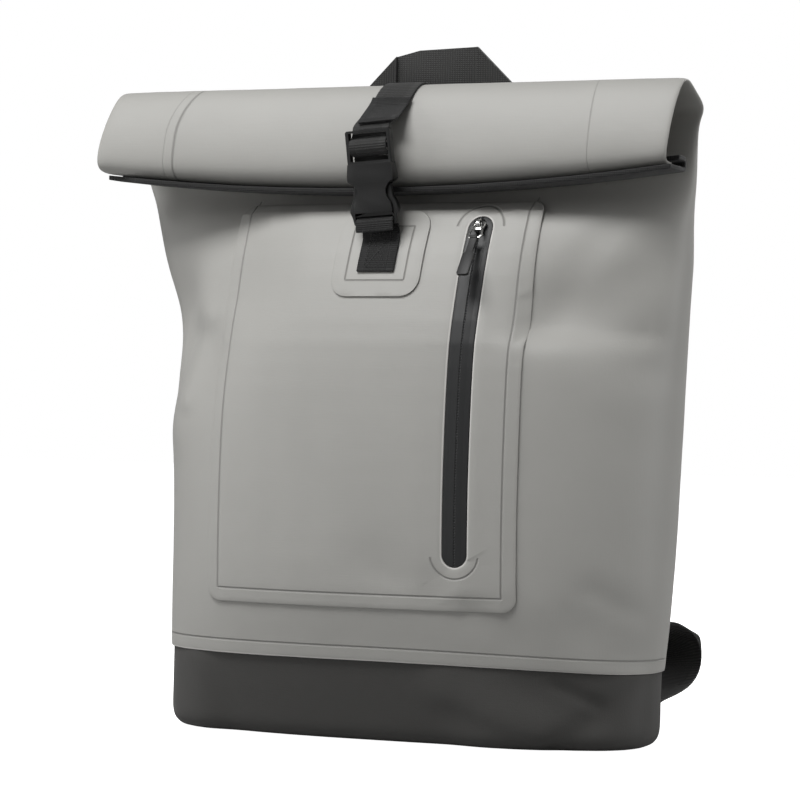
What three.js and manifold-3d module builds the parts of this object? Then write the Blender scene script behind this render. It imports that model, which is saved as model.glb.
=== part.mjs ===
// A roll-top bicycle messenger backpack, rolled shut, buckled and standing on its base.
// Millimetres, +Z up. The front faces -Y, +X is to the right seen from the front, and
// the origin is the floor under the middle of the mouth.
import * as THREE from 'three';
import { mergeVertices } from 'three/addons/utils/BufferGeometryUtils.js';
import Module from 'manifold-3d';

const wasm = await Module();
wasm.setup();

// Main sizes
const creaseHeight = 417;      // floor to the middle of the cloth at the roll's top crease
const mouthWidth = 396;        // the flattened mouth, and so the roll
const bodyWidth = 356;         // the full body, side to side
const bodyDepth = 113;         // the full body, front to back
const baseHeight = 52;         // floor to the lower edge of the grey cloth
const baseRounding = 11;       // where the sides turn into the underside
const hemSlant = 5;            // how much lower the grey cloth's edge is at the right
const neckDrop = 29;           // top crease down to where the front and back come together
const rollDrop = 62;           // top crease down to the underside of the roll
const rollForward = 28;        // top crease forward to the roll's front
const rollBack = 24;           // top crease back to the back crease
const rollSag = 8;             // how much lower the roll hangs at its middle
const backAcross = 11;         // the back's middle, to the right of the mouth's

// Cloth, webbing and clearances
const coatedWall = 1.2;        // grey coated cloth
const baseWall = 1.5;          // heavier cloth of the base
const mouthHollow = 0.8;       // left open inside the flattened mouth
const seamOverlap = 9;         // how far the base runs up behind the grey cloth
const webbingWidth = 25;
const webbingThickness = 1.6;
const clearance = 0.3;         // between pieces that touch
const rimClearance = 0.7;      // between the base's rim and the grey cloth round it

// Mouth binding
const bindingForward = 16.5;   // its edge forward of the mouth's hem
const bindingBack = 18.5;      // its fold behind the hem
const bindingWall = 3;
const bindingShort = 6;        // its left end short of the mouth's
const bindingTaper = 28;       // length over which that end narrows

// Front pocket, its zip and the buckle's patch
const pocketWidth = 212;
const pocketBottom = 86;
const pocketDrop = 76;         // top crease down to the pocket's upper edge
const pocketCorner = 9;
const panelWall = 1;
const zipAcross = 68;          // middle of the zip, to the right of the bag's middle
const zipBottom = 113;
const zipDrop = 10;            // pocket's upper edge down to the zip's end
const zipWidth = 16;
const tapeWall = 0.7;
const patchWidth = 60;
const patchLength = 55;
const patchDrop = 6;           // pocket's upper edge down to the patch
const patchCorner = 12;
const patchWall = 1;

// Zip slider and pull
const sliderLength = 11;
const sliderWidth = 8.5;
const sliderHeight = 3;
const crownRise = 4;           // from the slider's face to the crown's top
const crownWall = 2.4;
const linkLength = 16;
const linkWidth = 10;
const linkWire = 1.4;
const neckWidth = 4.6;         // the pull's narrow upper part
const neckLength = 14;
const gripWidth = 7.5;
const gripLength = 23;
const pullThickness = 2.2;

// Side-release buckle and its tab
const buckleDrop = 62;         // top crease down to the buckle's middle
const buckleForward = 39.5;    // the bag's middle forward to the buckle's middle
const buckleAcross = 0.5;
const buckleLean = 4;          // degrees, top to the left
const bucklePitch = 6;         // degrees, top forward
const buckleLength = 60;
const buckleWidth = 31;
const buckleThickness = 9;
const ladderThickness = 5;
const ladderBar = 3;
const ladderWindow = 18;       // length of the ladder's window
const socketHollow = 5.1;      // front to back inside the socket
const keyThickness = 4.5;      // the part that goes into the socket
const tabAcross = 5;
const tabReach = 61;           // the buckle's middle down to the tab's lower edge
const keeperWall = 1.4;
const keeperLow = 0.6;         // how far down the roll's front the keeper starts
const strapAcrossTop = 9;      // middle of the closing strap at the roll's top crease
const anchorDrop = 125;        // top crease down to its sewn end

// Carry handle
const handleWidth = 25;
const handleThickness = 2.2;
const handleAcross = 5.5;      // the mouth's middle to the handle's
const handleSpan = 81.5;       // between the middles of its legs
const handleRise = 30;         // top crease up to the grip's upper edge
const handleDip = 5;           // how much lower its left end stands
const handleCrest = 16;        // from there to where the grip runs level
const handleBack = 56;         // the bag's middle back to the grip
const handleDrop = 73;         // top crease down to its legs' lower ends
const handleSeam = 13;         // length of leg that lies on the back

// Shoulder straps
const strapWidth = 58;
const strapPadding = 9;
const strapApart = 52;         // the bag's middle to each strap's upper end
const strapDrop = 129;         // top crease down to their upper ends
const strapSpread = 122;       // the bag's middle to each strap's lower end
const strapReach = 98;         // the bag's middle back to the strap's outermost bow
const strapEnd = 96;           // height of the lower end
const lowerWidth = 30;
const lowerSpread = 152;       // where the lower webbing meets the base
const lowerReach = 112;
const lowerEnd = 13;           // height of the lower webbing's sewn end
const adjusterLength = 22;
const adjusterWidth = 38;
const adjusterThickness = 4;

// Heights that follow the top crease
const neckHeight = creaseHeight - neckDrop;
const pocketTop = creaseHeight - pocketDrop;
const zipTop = pocketTop - zipDrop;
const patchTop = pocketTop - patchDrop;
const patchBottom = patchTop - patchLength;
const buckleHeight = creaseHeight - buckleDrop;
const tabBottom = buckleHeight - tabReach;
const strapAnchor = creaseHeight - anchorDrop;
const handleTop = creaseHeight + handleRise;
const handleSewn = creaseHeight - handleDrop;
const strapSewn = creaseHeight - strapDrop;

// Body sections from the floor to the neck. height is a share of neckHeight, width and
// aside of half bodyWidth, front, back and widest of bodyDepth. aside is how far the
// section's middle stands to the right, and square is the corner's power.
const bodySections = [
  { height: 0.000, width: 0.935, aside: 0.060, front: -0.440, back: 0.420, widest: 0.12, square: 2.7 },
  { height: 0.139, width: 0.935, aside: 0.064, front: -0.480, back: 0.430, widest: 0.13, square: 2.6 },
  { height: 0.227, width: 0.944, aside: 0.075, front: -0.550, back: 0.435, widest: 0.14, square: 2.5 },
  { height: 0.350, width: 0.954, aside: 0.083, front: -0.575, back: 0.435, widest: 0.15, square: 2.4 },
  { height: 0.500, width: 0.969, aside: 0.083, front: -0.560, back: 0.435, widest: 0.16, square: 2.3 },
  { height: 0.640, width: 0.986, aside: 0.079, front: -0.505, back: 0.430, widest: 0.17, square: 2.3 },
  { height: 0.720, width: 1.007, aside: 0.067, front: -0.415, back: 0.420, widest: 0.17, square: 2.3 },
  { height: 0.785, width: 1.034, aside: 0.050, front: -0.320, back: 0.405, widest: 0.17, square: 2.3 },
  { height: 0.840, width: 1.048, aside: 0.035, front: -0.210, back: 0.385, widest: 0.17, square: 2.3 },
  { height: 0.872, width: 1.058, aside: 0.029, front: -0.115, back: 0.365, widest: 0.17, square: 2.4 },
  { height: 0.886, width: 1.063, aside: 0.026, front: 0.000, back: 0.350, widest: 0.17, square: 2.6 },
  { height: 0.900, width: 1.068, aside: 0.021, front: 0.100, back: 0.335, widest: 0.18, square: 3.0 },
  { height: 0.930, width: 1.085, aside: 0.011, front: 0.150, back: 0.300, widest: 0.19, square: 3.5 },
];

// The flattened mouth's way over the roll, from the neck to its hem. back is a share of
// rollBack behind the top crease, or of rollForward where it is negative, down is a share
// of rollDrop below it, hang is how much of rollSag it takes, and width and aside, to the
// right, are shares of mouthWidth.
const rollRows = [
  { back: 0.96, down: 0.470, hang: 0.00, width: 1.000, aside: 0 },
  { back: 1.02, down: 0.360, hang: 0.00, width: 1.010, aside: 0 },
  { back: 1.00, down: 0.255, hang: 0.00, width: 1.022, aside: 0 },
  { back: 0.52, down: 0.115, hang: 0.00, width: 1.006, aside: 0 },
  { back: 0.02, down: 0.000, hang: 0.00, width: 1.000, aside: 0 },
  { back: -0.36, down: 0.070, hang: 0.00, width: 1.000, aside: -0.002 },
  { back: -0.64, down: 0.270, hang: 0.15, width: 1.003, aside: -0.007 },
  { back: -0.86, down: 0.500, hang: 0.40, width: 1.006, aside: -0.012 },
  { back: -0.98, down: 0.720, hang: 0.70, width: 1.006, aside: -0.015 },
  { back: -0.94, down: 0.825, hang: 0.90, width: 1.003, aside: -0.016 },
  { back: -0.76, down: 0.862, hang: 1.35, width: 1.000, aside: -0.016 },
  { back: -0.40, down: 0.862, hang: 1.55, width: 1.000, aside: -0.016 },
];

// Dents and folds in the front: a line from one place to another, across as a share of
// half bodyWidth and up as a share of neckHeight, then its spread and depth as shares
// of bodyDepth. A negative depth is a ridge.
const folds = [
  { across: -0.68, up: 0.84, toAcross: -0.62, toUp: 0.74, spread: 0.34, depth: 0.100 },
  { across: -0.93, up: 0.86, toAcross: -0.90, toUp: 0.70, spread: 0.24, depth: 0.090 },
  { across: -0.86, up: 0.72, toAcross: -0.92, toUp: 0.58, spread: 0.17, depth: 0.062 },
  { across: -0.76, up: 0.70, toAcross: -0.80, toUp: 0.50, spread: 0.10, depth: -0.030 },
  { across: 0.74, up: 0.70, toAcross: 1.02, toUp: 0.78, spread: 0.13, depth: 0.040 },
  { across: 0.74, up: 0.69, toAcross: 1.00, toUp: 0.62, spread: 0.12, depth: 0.035 },
  { across: 0.72, up: 0.70, toAcross: 0.66, toUp: 0.80, spread: 0.12, depth: 0.025 },
  { across: 0.30, up: 0.27, toAcross: 0.66, toUp: 0.20, spread: 0.11, depth: -0.020 },
  { across: 0.80, up: 0.22, toAcross: 0.98, toUp: 0.16, spread: 0.10, depth: 0.030 },
  { across: 0.66, up: 0.10, toAcross: 0.84, toUp: 0.06, spread: 0.07, depth: 0.020 },
];

// Grid of the bag's outer surface
const columns = 42;
const crowding = 0.55;         // how much closer the columns stand at the side edges
const bodyRows = 21;
const baseRows = 4;
const sectionSteps = 240;

// Materials
const greyCloth = { color: 0xa9a8a6, roughness: 0.62, metalness: 0 };
const baseCloth = { color: 0x474747, roughness: 0.66, metalness: 0 };
const blackWebbing = { color: 0x1a1a1a, roughness: 0.8, metalness: 0 };
const buckleNylon = { color: 0x1d1d1c, roughness: 0.45, metalness: 0 };
const zipRubber = { color: 0x2b2c2e, roughness: 0.5, metalness: 0 };
const chromed = { color: 0xc9c9c9, roughness: 0.15, metalness: 1 };

const bag = new THREE.Group();

function addPiece(name, geometry, finish, parent = bag) {
  const mesh = new THREE.Mesh(geometry, new THREE.MeshStandardMaterial(finish));
  mesh.name = name;
  parent.add(mesh);
  return mesh;
}

// Smooth value of one column of a table at a place along another column
function valueAt(rows, along, column, place) {
  const last = rows.length - 1;
  if (place >= rows[last][along]) return rows[last][column];
  const next = Math.max(1, rows.findIndex((row) => row[along] > place));
  const slope = (i) => {
    const a = rows[Math.max(0, i - 1)];
    const b = rows[Math.min(last, i + 1)];
    return (b[column] - a[column]) / (b[along] - a[along]);
  };
  const from = rows[next - 1];
  const to = rows[next];
  const span = to[along] - from[along];
  const t = Math.max(0, (place - from[along]) / span);
  const eased = t * t * (3 - 2 * t);
  return from[column] * (1 - eased) + to[column] * eased
    + span * t * (1 - t) * ((1 - t) * slope(next - 1) - t * slope(next));
}

// One level loop of the tube, front half and back half each a superellipse, with its
// points spaced by their share of the way round, from the middle of the front
function loopPoints(halfWidth, front, back, widest, square) {
  const outline = [];
  for (let i = 0; i <= sectionSteps; i += 1) {
    const angle = -Math.PI / 2 + (i / sectionSteps) * 2 * Math.PI;
    const c = Math.cos(angle);
    const s = Math.sin(angle);
    const reach = s < 0 ? widest - front : back - widest;
    const power = s < 0 ? square : square + 1.5;
    outline.push(new THREE.Vector2(
      halfWidth * Math.sign(c) * Math.abs(c) ** (2 / power),
      widest + reach * Math.sign(s) * Math.abs(s) ** (2 / power),
    ));
  }
  const lengths = [0];
  for (let i = 1; i < outline.length; i += 1) {
    lengths.push(lengths[i - 1] + outline[i].distanceTo(outline[i - 1]));
  }
  const whole = lengths[lengths.length - 1];
  const points = [];
  for (let j = 0; j < columns; j += 1) {
    const turn = j / columns;
    const share = turn + (crowding * Math.sin(4 * Math.PI * turn)) / (4 * Math.PI);
    const wanted = share * whole;
    const next = Math.max(1, lengths.findIndex((length) => length >= wanted));
    const t = (wanted - lengths[next - 1]) / (lengths[next] - lengths[next - 1]);
    points.push(outline[next - 1].clone().lerp(outline[next], t));
  }
  return points;
}

// How far the folds push the front in at a place
function foldDepth(x, z) {
  let depth = 0;
  for (const fold of folds) {
    const from = new THREE.Vector2((fold.across * bodyWidth) / 2, fold.up * neckHeight);
    const to = new THREE.Vector2((fold.toAcross * bodyWidth) / 2, fold.toUp * neckHeight);
    const way = to.clone().sub(from);
    const here = new THREE.Vector2(x, z).sub(from);
    const along = THREE.MathUtils.clamp(here.dot(way) / way.lengthSq(), 0, 1);
    const off = here.sub(way.multiplyScalar(along)).length() / (fold.spread * bodyDepth);
    depth += fold.depth * bodyDepth * Math.exp(-off * off);
  }
  return depth;
}

// How much of the hem's slant there is at a height: none at the foot, all at the hem
function slantAt(height) {
  const rising = (height - baseRounding) / (baseHeight - baseRounding);
  const falling = 1 - (height - baseHeight) / (2 * baseHeight);
  return THREE.MathUtils.clamp(Math.min(rising, falling), 0, 1);
}

// One loop of the body at a height
function bodyLoop(height) {
  const share = height / neckHeight;
  const value = (column) => valueAt(bodySections, 'height', column, share);
  const loop = loopPoints(
    (value('width') * bodyWidth) / 2,
    value('front') * bodyDepth,
    value('back') * bodyDepth,
    value('widest') * bodyDepth,
    value('square'),
  );
  const aside = (value('aside') * bodyWidth) / 2;
  return loop.map((point, j) => {
    const frontness = Math.max(0, Math.cos((2 * Math.PI * j) / columns) + 0.35) / 1.35;
    const push = foldDepth(point.x + aside, height) * Math.min(1, 2 * frontness);
    const inward = new THREE.Vector2(-point.x / bodyWidth, 0.8).normalize();
    const drop = hemSlant * slantAt(height) * Math.max(0, (2 * point.x) / bodyWidth) ** 2;
    return new THREE.Vector3(
      point.x + aside + push * inward.x, point.y + push * inward.y, height - drop,
    );
  });
}

// The flattened tube's rows over the roll, each loop turned to stand across its way
function rollLoops() {
  const pairHalf = coatedWall + mouthHollow / 2;
  const way = rollRows.map((row) => new THREE.Vector2(
    row.back * (row.back > 0 ? rollBack : rollForward),
    creaseHeight - row.down * rollDrop,
  ));
  return rollRows.map((row, i) => {
    const before = way[Math.max(0, i - 1)];
    const after = way[Math.min(way.length - 1, i + 1)];
    const heading = after.clone().sub(before).normalize();
    const flat = loopPoints((rollRows[i].width * mouthWidth) / 2, -pairHalf, pairHalf, 0, 6);
    return flat.map((point) => {
      const low = rollSag * row.hang * (1 - (2 * point.x / mouthWidth) ** 2);
      return new THREE.Vector3(
        point.x + row.aside * mouthWidth,
        way[i].x + heading.y * point.y,
        way[i].y - heading.x * point.y - low,
      );
    });
  });
}

// The whole outer surface of the grey cloth, from its hem to the mouth
const neckShare = bodySections[bodySections.length - 1].height;
const levels = [baseHeight, baseHeight + seamOverlap];
for (let i = 1; i < bodyRows; i += 1) {
  const share = (i / (bodyRows - 1)) ** 0.9;
  levels.push(levels[1] + share * (neckShare * neckHeight - levels[1]));
}
const clothRows = [...levels.map(bodyLoop), ...rollLoops()];

// The same grid moved out along its own normals
function offsetRows(rows, distance) {
  const last = rows.length - 1;
  return rows.map((row, i) => row.map((point, j) => {
    const along = rows[Math.min(last, i + 1)][j].clone().sub(rows[Math.max(0, i - 1)][j]);
    const next = row[(j + 1) % columns];
    const previous = row[(j + columns - 1) % columns];
    const round = next.clone().sub(previous);
    return point.clone().addScaledVector(round.cross(along).normalize(), distance);
  }));
}

// A closed wall between two matching grids of points
function wall(outer, inner, { round = false, closeLast = false } = {}) {
  const rowCount = outer.length;
  const count = outer[0].length;
  const positions = [];
  const triangle = (a, b, c) => {
    const area = b.clone().sub(a).cross(c.clone().sub(a)).length();
    if (area > 1e-6) positions.push(...a.toArray(), ...b.toArray(), ...c.toArray());
  };
  const quad = (a, b, c, d) => {
    triangle(a, b, c);
    triangle(a, c, d);
  };
  const steps = round ? count : count - 1;
  for (let i = 0; i < rowCount - 1; i += 1) {
    for (let j = 0; j < steps; j += 1) {
      const k = (j + 1) % count;
      quad(outer[i][j], outer[i][k], outer[i + 1][k], outer[i + 1][j]);
      quad(inner[i][j], inner[i + 1][j], inner[i + 1][k], inner[i][k]);
    }
  }
  for (let j = 0; j < steps; j += 1) {
    const k = (j + 1) % count;
    const end = rowCount - 1;
    quad(outer[0][j], inner[0][j], inner[0][k], outer[0][k]);
    if (!closeLast) quad(outer[end][j], outer[end][k], inner[end][k], inner[end][j]);
  }
  if (!round) {
    const end = count - 1;
    for (let i = 0; i < rowCount - 1; i += 1) {
      quad(outer[i][0], outer[i + 1][0], inner[i + 1][0], inner[i][0]);
      quad(outer[i][end], inner[i][end], inner[i + 1][end], outer[i + 1][end]);
    }
  }
  return outward(positions);
}

// A geometry from loose triangles, turned so that its faces point out
function outward(positions) {
  let volume = 0;
  for (let i = 0; i < positions.length; i += 9) {
    const a = new THREE.Vector3().fromArray(positions, i);
    const b = new THREE.Vector3().fromArray(positions, i + 3);
    const c = new THREE.Vector3().fromArray(positions, i + 6);
    volume += a.dot(b.cross(c));
  }
  if (volume < 0) {
    for (let i = 0; i < positions.length; i += 9) {
      const b = positions.slice(i + 3, i + 6);
      positions.splice(i + 3, 3, ...positions.slice(i + 6, i + 9));
      positions.splice(i + 6, 3, ...b);
    }
  }
  const geometry = new THREE.BufferGeometry();
  geometry.setAttribute('position', new THREE.Float32BufferAttribute(positions, 3));
  return mergeVertices(geometry, 1e-4);
}

function toSolid(geometry) {
  const bare = geometry.clone();
  bare.deleteAttribute('normal');
  bare.deleteAttribute('uv');
  const merged = mergeVertices(bare, 1e-4);
  const corners = [...merged.index.array];
  const kept = [];
  for (let i = 0; i < corners.length; i += 3) {
    const [a, b, c] = corners.slice(i, i + 3);
    if (a !== b && b !== c && c !== a) kept.push(a, b, c);
  }
  return new wasm.Manifold(new wasm.Mesh({
    numProp: 3,
    vertProperties: new Float32Array(merged.attributes.position.array),
    triVerts: new Uint32Array(kept),
  }));
}

function fromSolid(solid) {
  const mesh = solid.getMesh();
  const geometry = new THREE.BufferGeometry();
  geometry.setAttribute('position', new THREE.BufferAttribute(mesh.vertProperties, 3));
  geometry.setIndex(new THREE.BufferAttribute(mesh.triVerts, 1));
  return geometry;
}

// An outline and its holes extruded, all turned the same way round
function extruded(shape, depth, segments) {
  const turned = (points) => {
    const open = points.filter((point, i) => i === 0 || point.distanceTo(points[0]) > 1e-6);
    return THREE.ShapeUtils.isClockWise(open) ? open.reverse() : open;
  };
  const { shape: edge, holes } = shape.extractPoints(segments);
  const outline = new THREE.Shape(turned(edge));
  outline.holes = holes.map((hole) => new THREE.Path(turned(hole)));
  return new THREE.ExtrudeGeometry(outline, { depth, bevelEnabled: false });
}

// An outline in the front view as a block through the given depth
function frontBlock(shape, near, far, segments = 6) {
  const geometry = extruded(shape, far - near, segments);
  geometry.rotateX(Math.PI / 2);
  geometry.translate(0, far, 0);
  return geometry;
}

// An outline in the side view, drawn in y and z, as a block between two places across
function sideBlock(shape, left, right, segments = 6) {
  const geometry = extruded(shape, right - left, segments);
  geometry.translate(0, 0, left);
  return geometry.applyMatrix4(new THREE.Matrix4().set(0, 0, 1, 0, 1, 0, 0, 0, 0, 1, 0, 0, 0, 0, 0, 1));
}

// A rectangle with round corners, given by its middle and half sizes
function roundedShape(x, z, halfWidth, halfHeight, radius) {
  const shape = new THREE.Shape();
  shape.moveTo(x - halfWidth + radius, z - halfHeight);
  shape.lineTo(x + halfWidth - radius, z - halfHeight);
  shape.absarc(x + halfWidth - radius, z - halfHeight + radius, radius, -Math.PI / 2, 0);
  shape.lineTo(x + halfWidth, z + halfHeight - radius);
  shape.absarc(x + halfWidth - radius, z + halfHeight - radius, radius, 0, Math.PI / 2);
  shape.lineTo(x - halfWidth + radius, z + halfHeight);
  shape.absarc(x - halfWidth + radius, z + halfHeight - radius, radius, Math.PI / 2, Math.PI);
  shape.lineTo(x - halfWidth, z - halfHeight + radius);
  shape.absarc(x - halfWidth + radius, z - halfHeight + radius, radius, Math.PI, 1.5 * Math.PI);
  return shape;
}

// A piece of cloth welded on the front: the front's surface between two heights above
// it, cut to an outline
function frontCloth(shape, low, high) {
  const bounds = new THREE.Box2().setFromPoints(shape.getPoints());
  const rows = clothRows.filter((row, i) => {
    const below = clothRows[Math.min(levels.length - 1, i + 1)][0].z;
    const above = clothRows[Math.max(0, i - 1)][0].z;
    return i < levels.length && below > bounds.min.y && above < bounds.max.y;
  });
  const first = clothRows.indexOf(rows[0]);
  const reach = Math.ceil(columns * 0.24);
  const front = (row) => [...row.slice(columns - reach), ...row.slice(0, reach + 1)];
  const pick = (distance) => offsetRows(clothRows, distance)
    .slice(first, first + rows.length).map(front);
  const sheet = toSolid(wall(pick(high), pick(low)));
  return sheet.intersect(toSolid(frontBlock(shape, -bodyDepth, bodyDepth / 2)));
}

// A flat strip along a way. Each station has its middle and its thickness. The width lies
// along the station's own direction, or else square to the way and as level as it allows.
function strip(stations, width) {
  const last = stations.length - 1;
  const outer = [];
  const inner = [];
  stations.forEach((station, i) => {
    const before = stations[Math.max(0, i - 1)].at;
    const after = stations[Math.min(last, i + 1)].at;
    const heading = after.clone().sub(before).normalize();
    const side = new THREE.Vector3(1, 0, 0);
    if (station.across) side.copy(station.across);
    else side.addScaledVector(heading, -side.dot(heading)).normalize();
    const up = side.clone().cross(heading).normalize().multiplyScalar(station.thick / 2);
    const half = side.multiplyScalar(width / 2);
    outer.push([station.at.clone().sub(half).add(up), station.at.clone().add(half).add(up)]);
    inner.push([station.at.clone().sub(half).sub(up), station.at.clone().add(half).sub(up)]);
  });
  return wall(outer, inner);
}

// Grey shell: one tube of coated cloth, full at the bottom and flattened and rolled at the top
const shell = addPiece(
  'bag_shell',
  wall(clothRows, offsetRows(clothRows, -coatedWall), { round: true }),
  greyCloth,
);

// Where a level line from the front or the back meets the cloth
shell.geometry.computeVertexNormals();
function seatOn(mesh, x, z, side) {
  const from = new THREE.Vector3(x, side * 2 * mouthWidth, z);
  const ray = new THREE.Raycaster(from, new THREE.Vector3(0, -side, 0));
  mesh.updateMatrixWorld(true);
  const hit = ray.intersectObject(mesh)[0];
  return { at: hit.point, normal: hit.face.normal.clone() };
}
function above(seat, distance) {
  return seat.at.clone().addScaledVector(seat.normal, distance);
}

// Charcoal base: a cup whose rim stands inside the grey cloth
function insetLoop(loop, distance, height = null) {
  return loop.map((point, j) => {
    const next = loop[(j + 1) % columns];
    const previous = loop[(j + columns - 1) % columns];
    const out = new THREE.Vector2(next.y - previous.y, previous.x - next.x).normalize();
    return new THREE.Vector3(
      point.x - distance * out.x, point.y - distance * out.y, height ?? point.z,
    );
  });
}
function baseSkin(inset, floorHeight, rounding) {
  const rows = [insetLoop(bodyLoop(levels[1]), inset)];
  for (let i = 0; i <= baseRows; i += 1) {
    const height = baseHeight + (i / baseRows) * (floorHeight + rounding - baseHeight);
    rows.push(insetLoop(bodyLoop(height), inset));
  }
  const foot = bodyLoop(floorHeight + rounding);
  for (let i = 1; i <= 3; i += 1) {
    const angle = (i / 3) * (Math.PI / 2);
    const height = floorHeight + rounding * (1 - Math.sin(angle));
    rows.push(insetLoop(foot, inset + rounding * (1 - Math.cos(angle)), height));
  }
  const edge = rows[rows.length - 1];
  const middle = new THREE.Vector3(edge[0].x, 0, floorHeight);
  rows.push(edge.map((point) => point.clone().lerp(middle, 0.5)));
  rows.push(edge.map(() => middle));
  return rows;
}
const rimInset = coatedWall + rimClearance;
const tub = addPiece(
  'base_tub',
  wall(
    baseSkin(rimInset, 0, baseRounding),
    baseSkin(rimInset + baseWall, baseWall, baseRounding - baseWall),
    { round: true, closeLast: true },
  ),
  baseCloth,
);

// Black binding folded round the mouth, inside the underside of the roll
const hem = rollRows[rollRows.length - 1];
const hemBack = hem.back * rollForward;
const hemHeight = creaseHeight - hem.down * rollDrop;
const bindingHollow = 2 * coatedWall + mouthHollow + 2 * clearance;
function bindingRow(x) {
  const low = rollSag * hem.hang * (1 - (2 * x / mouthWidth) ** 2);
  const fromEnd = x + mouthWidth / 2 - bindingShort;
  const front = hemBack - bindingForward * Math.min(1, 0.25 + fromEnd / bindingTaper);
  const bend = hemBack + bindingBack - bindingHollow / 2 - bindingWall;
  const outer = [];
  const inner = [];
  const place = (list, y, reach, angle) => list.push(new THREE.Vector3(
    x + hem.aside * mouthWidth,
    y + reach * Math.cos(angle),
    hemHeight - low + reach * Math.sin(angle),
  ));
  const outside = bindingHollow / 2 + bindingWall;
  place(outer, front, outside, -Math.PI / 2);
  place(inner, front, bindingHollow / 2, -Math.PI / 2);
  for (let i = 0; i <= 6; i += 1) {
    const angle = -Math.PI / 2 + (i / 6) * Math.PI;
    place(outer, bend, outside, angle);
    place(inner, bend, bindingHollow / 2, angle);
  }
  place(outer, hemBack + 2 * bindingWall / 3, outside, Math.PI / 2);
  place(inner, hemBack + 2 * bindingWall / 3, bindingHollow / 2, Math.PI / 2);
  return { outer, inner };
}
const bindingStations = [];
for (let i = 0; i <= 12; i += 1) {
  bindingStations.push(bindingRow(THREE.MathUtils.lerp(bindingShort - mouthWidth / 2, mouthWidth / 2, i / 12)));
}
addPiece(
  'mouth_binding',
  wall(bindingStations.map((row) => row.outer), bindingStations.map((row) => row.inner)),
  blackWebbing,
);

// Pocket panel welded on the front, with the zip's window
const panelShape = roundedShape(
  0, (pocketBottom + pocketTop) / 2, pocketWidth / 2, (pocketTop - pocketBottom) / 2, pocketCorner,
);
function zipShape(grow) {
  const half = zipWidth / 2 + grow;
  return roundedShape(
    zipAcross, (zipBottom + zipTop) / 2, half, (zipTop - zipBottom) / 2 + grow, half - 0.01,
  );
}
const onPanel = clearance + panelWall;
const windowBlock = toSolid(frontBlock(zipShape(0), -bodyDepth, bodyDepth / 2, 5));
addPiece(
  'pocket_panel',
  fromSolid(frontCloth(panelShape, clearance, onPanel).subtract(windowBlock)),
  greyCloth,
);

// Coated zip tape in the window
addPiece('zip_tape', fromSolid(frontCloth(zipShape(-clearance), clearance, clearance + tapeWall)),
  zipRubber);

// Patch under the buckle's tab
const patchShape = roundedShape(
  tabAcross, (patchBottom + patchTop) / 2, patchWidth / 2, (patchTop - patchBottom) / 2, patchCorner,
);
const onPatch = onPanel + clearance + patchWall;
addPiece('buckle_patch', fromSolid(frontCloth(patchShape, onPanel + clearance, onPatch)), greyCloth);

// Zip slider, seated on the tape below the window's upper end
const zipSeat = seatOn(shell, zipAcross, zipTop - zipWidth / 2, -1);
const zipFrame = new THREE.Group();
const zipUp = new THREE.Vector3(0, 0, 1);
zipUp.addScaledVector(zipSeat.normal, -zipUp.dot(zipSeat.normal)).normalize();
const zipSide = zipUp.clone().cross(zipSeat.normal).negate();
zipFrame.quaternion.setFromRotationMatrix(new THREE.Matrix4().makeBasis(
  zipSide, zipSeat.normal.clone().negate(), zipUp,
));
zipFrame.position.copy(above(zipSeat, tapeWall + 4 * clearance));
bag.add(zipFrame);

// The slider's own frame: x across the zip, -y out of the bag, z up the zip
const sliderOutline = new THREE.Shape();
sliderOutline.moveTo(-sliderWidth * 0.32, -sliderLength / 2);
sliderOutline.lineTo(sliderWidth * 0.32, -sliderLength / 2);
sliderOutline.lineTo(sliderWidth / 2, sliderLength * 0.15);
sliderOutline.absarc(0, sliderLength * 0.15, sliderWidth / 2, 0, Math.PI);
const wireRound = linkWire * Math.SQRT1_2;
const pinHole = wireRound + clearance;
const pinOut = sliderHeight + pinHole;
const crownOutline = new THREE.Shape();
crownOutline.moveTo(-sliderHeight + 0.2, -sliderLength * 0.32);
crownOutline.lineTo(-sliderHeight - crownRise, -sliderLength * 0.24);
crownOutline.lineTo(-sliderHeight - crownRise, sliderLength * 0.24);
crownOutline.lineTo(-sliderHeight + 0.2, sliderLength * 0.32);
const pinPath = new THREE.Path();
pinPath.absarc(-pinOut, 0, pinHole, 0, 2 * Math.PI, true);
crownOutline.holes.push(pinPath);
const crown = toSolid(sideBlock(crownOutline, -crownWall / 2, crownWall / 2));
addPiece(
  'zip_slider',
  fromSolid(toSolid(frontBlock(sliderOutline, -sliderHeight, 0, 5)).add(crown)),
  chromed,
  zipFrame,
);

// The pull swings on the slider's crown: a metal link and a moulded grip
const pullFrame = new THREE.Group();
pullFrame.position.set(0, -pinOut, 0);
zipFrame.add(pullFrame);
const linkHalf = linkWidth / 2;
const linkTop = crownWall / 2 + clearance + linkWire;
const linkOutline = new THREE.Shape();
linkOutline.moveTo(-linkTop, linkWire / 2);
linkOutline.lineTo(linkTop, linkWire / 2);
linkOutline.lineTo(linkHalf, -linkLength * 0.75);
linkOutline.lineTo(linkHalf - linkWire, -linkLength);
linkOutline.lineTo(-linkHalf + linkWire, -linkLength);
linkOutline.lineTo(-linkHalf, -linkLength * 0.75);
const linkHole = new THREE.Path();
linkHole.moveTo(-linkTop + linkWire, -linkWire / 2);
linkHole.lineTo(-linkHalf + linkWire, -linkLength * 0.75);
linkHole.lineTo(-linkHalf + 1.7 * linkWire, -linkLength + linkWire);
linkHole.lineTo(linkHalf - 1.7 * linkWire, -linkLength + linkWire);
linkHole.lineTo(linkHalf - linkWire, -linkLength * 0.75);
linkHole.lineTo(linkTop - linkWire, -linkWire / 2);
linkOutline.holes.push(linkHole);
addPiece(
  'zip_link',
  fromSolid(toSolid(frontBlock(linkOutline, -linkWire / 2, linkWire / 2))),
  chromed,
  pullFrame,
);

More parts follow.
